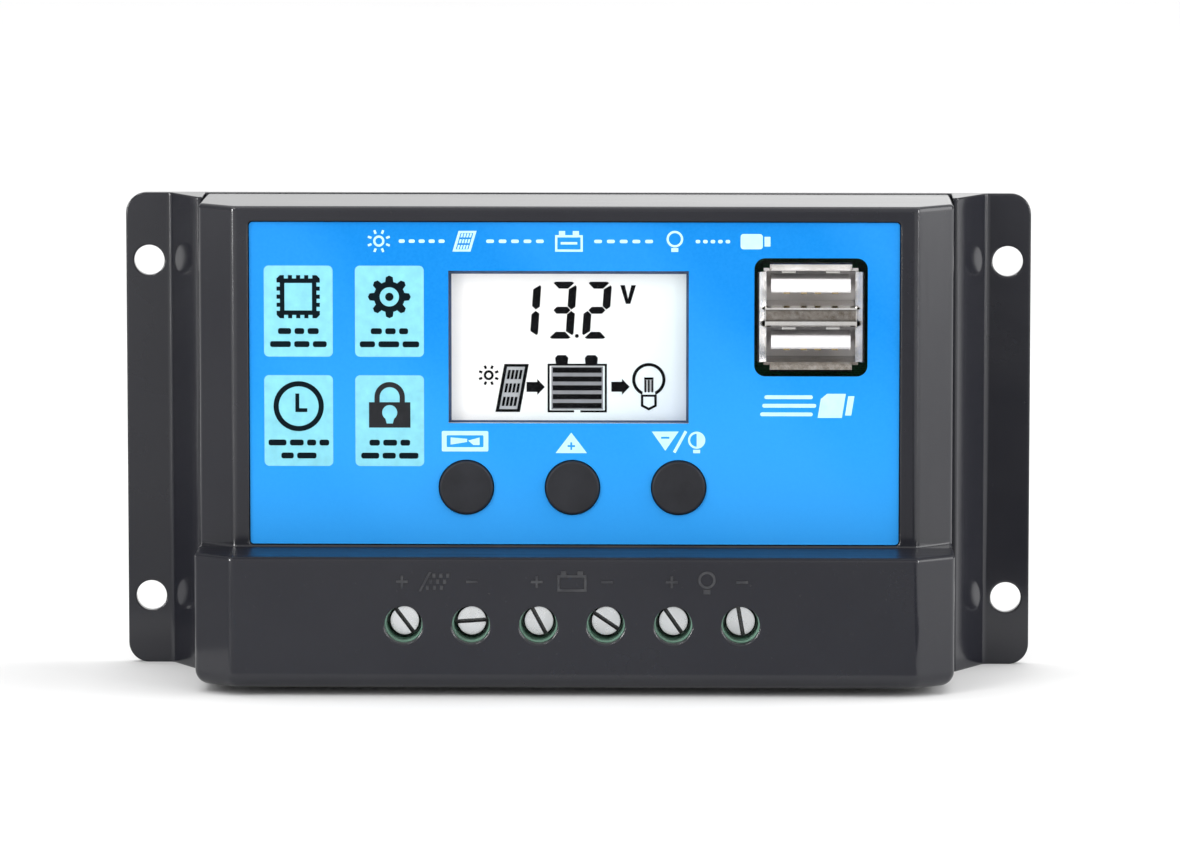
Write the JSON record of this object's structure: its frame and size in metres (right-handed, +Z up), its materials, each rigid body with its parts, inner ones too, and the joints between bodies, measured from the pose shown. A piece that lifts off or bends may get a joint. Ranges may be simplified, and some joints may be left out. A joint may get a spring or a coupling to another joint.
{
  "type": "charge controller",
  "caption": "Wall-mounted solar charge controller: black case with ears, blue label, segment display, round keys, double USB socket and slotted clamp screws.",
  "frame": {"origin": "centre of the four wall holes, on the back face", "axes": "+X to the right seen from the front, +Z up the wall, -Y out of the wall towards the user"},
  "size_m": [0.1334, 0.035, 0.07],
  "materials": {
    "case": "gloss black moulded plastic",
    "label": "blue printed sheet",
    "window": "clear acrylic",
    "polariser": "grey film",
    "display_glass": "polished",
    "light_guide": "white diffuser",
    "white_plastic": "moulded",
    "tinned_steel": "tinned",
    "board": "green solder mask",
    "terminal_green": "moulded",
    "brass": "tinned brass",
    "nickel_steel": "nickel plated",
    "socket_white": "moulded",
    "gold_contact": "gold flash",
    "black_resin": "moulded epoxy",
    "aluminium": "mill finish",
    "silicone": "grey pad",
    "tinned_copper": "tinned copper",
    "zinc_steel": "zinc plated",
    "can_sleeve": "black sleeve on an aluminium can",
    "ferrite": "matte ferrite",
    "copper_wire": "enamelled copper",
    "resistor_black": "glazed",
    "black_screw": "black oxide",
    "button": "satin black",
    "plunger": "moulded",
    "screw_zinc": "bright zinc",
    "cage_steel": "zinc plated"
  },
  "bodies": {
    "housing": {"rear_base": "case", "front_cover": "case", "label_overlay": "label", "display_window": "window", "display_polariser": "polariser", "display_front_glass": "display_glass", "display_rear_glass": "display_glass", "display_backlight": "light_guide", "display_frame": "white_plastic", "display_pins": "tinned_steel", "main_board": "board", "terminal_housing": "terminal_green", "contact_bars": "brass", "usb_shell": "nickel_steel", "usb_insulator": "socket_white", "usb_contacts": "gold_contact", "switch_bodies": "black_resin", "switch_covers": "nickel_steel", "switch_domes": "nickel_steel", "heat_spreader": "aluminium", "thermal_pad": "silicone", "mosfet_bodies": "black_resin", "mosfet_tabs": "tinned_copper", "mosfet_leads": "tinned_copper", "mosfet_screws": "zinc_steel", "capacitor_cans": "can_sleeve", "capacitor_leads": "tinned_copper", "microcontroller": "black_resin", "usb_regulator": "black_resin", "chip_pins": "tinned_copper", "inductor_core": "ferrite", "inductor_winding": "copper_wire", "diode_bodies": "black_resin", "diode_leads": "tinned_copper", "shunt_wire": "copper_wire", "chip_resistors": "resistor_black", "board_screws": "zinc_steel", "case_screws": "black_screw"},
    "menu_key": {"menu_button": "button", "menu_plunger": "plunger"},
    "up_key": {"up_button": "button", "up_plunger": "plunger"},
    "down_key": {"down_button": "button", "down_plunger": "plunger"},
    "screw_1": {"terminal_screw_1": "screw_zinc"},
    "cage_1": {"clamp_cage_1": "cage_steel"},
    "screw_2": {"terminal_screw_2": "screw_zinc"},
    "cage_2": {"clamp_cage_2": "cage_steel"},
    "screw_3": {"terminal_screw_3": "screw_zinc"},
    "cage_3": {"clamp_cage_3": "cage_steel"},
    "screw_4": {"terminal_screw_4": "screw_zinc"},
    "cage_4": {"clamp_cage_4": "cage_steel"},
    "screw_5": {"terminal_screw_5": "screw_zinc"},
    "cage_5": {"clamp_cage_5": "cage_steel"},
    "screw_6": {"terminal_screw_6": "screw_zinc"},
    "cage_6": {"clamp_cage_6": "cage_steel"}
  },
  "joints": [
    {"name": "menu_press", "type": "slide", "parent": "housing", "child": "menu_key", "axis": [0, 1, 0], "range_m": [0, 0.0005], "stiffness_N_per_m": 2500},
    {"name": "up_press", "type": "slide", "parent": "housing", "child": "up_key", "axis": [0, 1, 0], "range_m": [0, 0.0005], "stiffness_N_per_m": 2500},
    {"name": "down_press", "type": "slide", "parent": "housing", "child": "down_key", "axis": [0, 1, 0], "range_m": [0, 0.0005], "stiffness_N_per_m": 2500},
    {"name": "screw_1_turn", "type": "hinge", "parent": "housing", "child": "screw_1", "pos_m": [-0.0245, -0.025, -0.0245], "axis": [0, 1, 0], "range_deg": [0, 1800]},
    {"name": "screw_2_turn", "type": "hinge", "parent": "housing", "child": "screw_2", "pos_m": [-0.0148, -0.025, -0.0245], "axis": [0, 1, 0], "range_deg": [0, 1800]},
    {"name": "screw_3_turn", "type": "hinge", "parent": "housing", "child": "screw_3", "pos_m": [-0.0051, -0.025, -0.0245], "axis": [0, 1, 0], "range_deg": [0, 1800]},
    {"name": "screw_4_turn", "type": "hinge", "parent": "housing", "child": "screw_4", "pos_m": [0.0046, -0.025, -0.0245], "axis": [0, 1, 0], "range_deg": [0, 1800]},
    {"name": "screw_5_turn", "type": "hinge", "parent": "housing", "child": "screw_5", "pos_m": [0.0143, -0.025, -0.0245], "axis": [0, 1, 0], "range_deg": [0, 1800]},
    {"name": "screw_6_turn", "type": "hinge", "parent": "housing", "child": "screw_6", "pos_m": [0.024, -0.025, -0.0245], "axis": [0, 1, 0], "range_deg": [0, 1800]},
    {"name": "cage_1_lift", "type": "slide", "parent": "housing", "child": "cage_1", "axis": [0, -1, 0], "range_m": [0, 0.0035]},
    {"name": "cage_2_lift", "type": "slide", "parent": "housing", "child": "cage_2", "axis": [0, -1, 0], "range_m": [0, 0.0035]},
    {"name": "cage_3_lift", "type": "slide", "parent": "housing", "child": "cage_3", "axis": [0, -1, 0], "range_m": [0, 0.0035]},
    {"name": "cage_4_lift", "type": "slide", "parent": "housing", "child": "cage_4", "axis": [0, -1, 0], "range_m": [0, 0.0035]},
    {"name": "cage_5_lift", "type": "slide", "parent": "housing", "child": "cage_5", "axis": [0, -1, 0], "range_m": [0, 0.0035]},
    {"name": "cage_6_lift", "type": "slide", "parent": "housing", "child": "cage_6", "axis": [0, -1, 0], "range_m": [0, 0.0035]}
  ],
  "couplings": [
    {"joint": "screw_1_turn", "follows": "cage_1_lift", "rad_per_m": 8975.9},
    {"joint": "screw_2_turn", "follows": "cage_2_lift", "rad_per_m": 8975.9},
    {"joint": "screw_3_turn", "follows": "cage_3_lift", "rad_per_m": 8975.9},
    {"joint": "screw_4_turn", "follows": "cage_4_lift", "rad_per_m": 8975.9},
    {"joint": "screw_5_turn", "follows": "cage_5_lift", "rad_per_m": 8975.9},
    {"joint": "screw_6_turn", "follows": "cage_6_lift", "rad_per_m": 8975.9}
  ]
}
